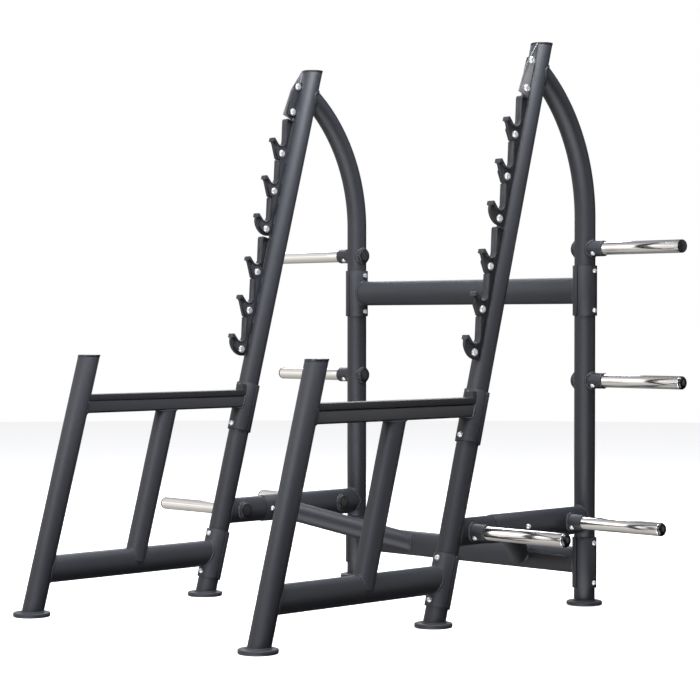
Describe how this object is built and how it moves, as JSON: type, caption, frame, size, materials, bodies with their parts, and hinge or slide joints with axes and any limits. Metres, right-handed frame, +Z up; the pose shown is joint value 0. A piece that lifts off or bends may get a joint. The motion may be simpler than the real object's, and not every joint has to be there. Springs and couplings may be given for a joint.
{
  "type": "squat rack",
  "caption": "Dark steel squat rack with leaning uprights, stepped bar hooks, fixed spotter rails, bent rear posts and chrome weight horns.",
  "frame": {"origin": "on the floor, midway between the left and right sides and midway between the front and rear feet", "axes": "+X to the rack's right side, +Y to the rear, away from the spotter rails, +Z up"},
  "size_m": [1.9698, 1.669, 1.933],
  "materials": {
    "powder_coat": "fine satin texture",
    "cast_coat": "satin over a cast surface",
    "chrome": "polished",
    "brushed_steel": "brushed",
    "liner_plastic": "matte",
    "black_plastic": "gloss"
  },
  "bodies": {
    "root": {"clamp_post_lower_left": "powder_coat", "clamp_post_lower_right": "powder_coat", "clamp_post_upper_left": "powder_coat", "clamp_post_upper_right": "powder_coat", "clamp_upright_lower_left": "powder_coat", "clamp_upright_lower_right": "powder_coat", "clamp_upright_upper_left": "powder_coat", "clamp_upright_upper_right": "powder_coat", "corner_gusset_left": "powder_coat", "corner_gusset_right": "powder_coat", "diagonal_brace_left": "powder_coat", "diagonal_brace_right": "powder_coat", "front_post_left": "powder_coat", "front_post_right": "powder_coat", "guard_plate_left": "brushed_steel", "guard_plate_right": "brushed_steel", "guard_tab_left": "powder_coat", "guard_tab_right": "powder_coat", "hook_plate_lower_left": "powder_coat", "hook_plate_lower_right": "powder_coat", "hook_plate_upper_left": "powder_coat", "hook_plate_upper_right": "powder_coat", "hooks_lower_left": "cast_coat", "hooks_lower_right": "cast_coat", "hooks_upper_left": "cast_coat", "hooks_upper_right": "cast_coat", "horn_cap_front_left": "black_plastic", "horn_cap_front_right": "black_plastic", "horn_cap_lower_left": "black_plastic", "horn_cap_lower_right": "black_plastic", "horn_cap_rear_left": "black_plastic", "horn_cap_rear_right": "black_plastic", "horn_cap_upper_left": "black_plastic", "horn_cap_upper_right": "black_plastic", "horn_front_left": "chrome", "horn_front_right": "chrome", "horn_lower_left": "chrome", "horn_lower_right": "chrome", "horn_rear_left": "chrome", "horn_rear_right": "chrome", "horn_upper_left": "chrome", "horn_upper_right": "chrome", "lower_cross_member": "powder_coat", "lower_rail_left": "powder_coat", "lower_rail_right": "powder_coat", "rear_post_left": "powder_coat", "rear_post_right": "powder_coat", "side_rail_front_left": "powder_coat", "side_rail_front_right": "powder_coat", "side_rail_rear_left": "powder_coat", "side_rail_rear_right": "powder_coat", "spotter_liner_left": "liner_plastic", "spotter_liner_right": "liner_plastic", "spotter_rail_left": "powder_coat", "spotter_rail_right": "powder_coat", "spotter_strut_left": "powder_coat", "spotter_strut_right": "powder_coat", "upper_crossbar": "powder_coat", "upright_left": "powder_coat", "upright_right": "powder_coat"}
  },
  "joints": []
}
